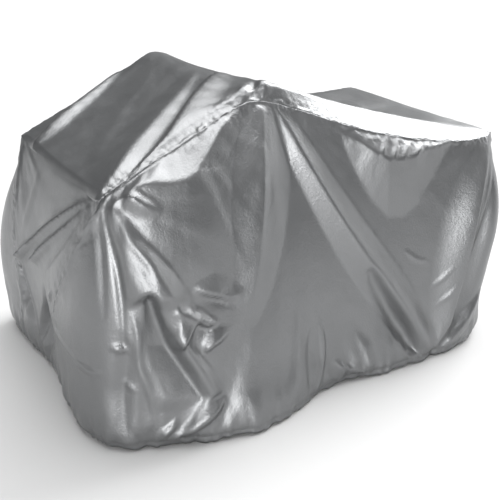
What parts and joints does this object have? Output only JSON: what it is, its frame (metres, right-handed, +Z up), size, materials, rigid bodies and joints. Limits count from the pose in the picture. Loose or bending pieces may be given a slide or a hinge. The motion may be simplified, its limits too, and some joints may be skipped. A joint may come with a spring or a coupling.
{
  "type": "all-terrain vehicle cover",
  "caption": "Fitted cover for an all-terrain vehicle, draped as over its racks and handlebar: sewn panels of silver coated cloth with gathered shoulder seams and an elastic hem, open below.",
  "frame": {"origin": "on the floor, under the middle of the cover's box", "axes": "+X towards the vehicle's rear, +Y towards its far side as the cover is seen from the near front, +Z up"},
  "size_m": [1.8444, 1.4082, 1.1286],
  "materials": {
    "silver_cloth": "silver coated polyester taffeta, crisp, with a semi-metallic sheen"
  },
  "bodies": {
    "root": {"centre_panel": "silver_cloth", "near_side_panel": "silver_cloth", "far_side_panel": "silver_cloth"}
  },
  "joints": []
}
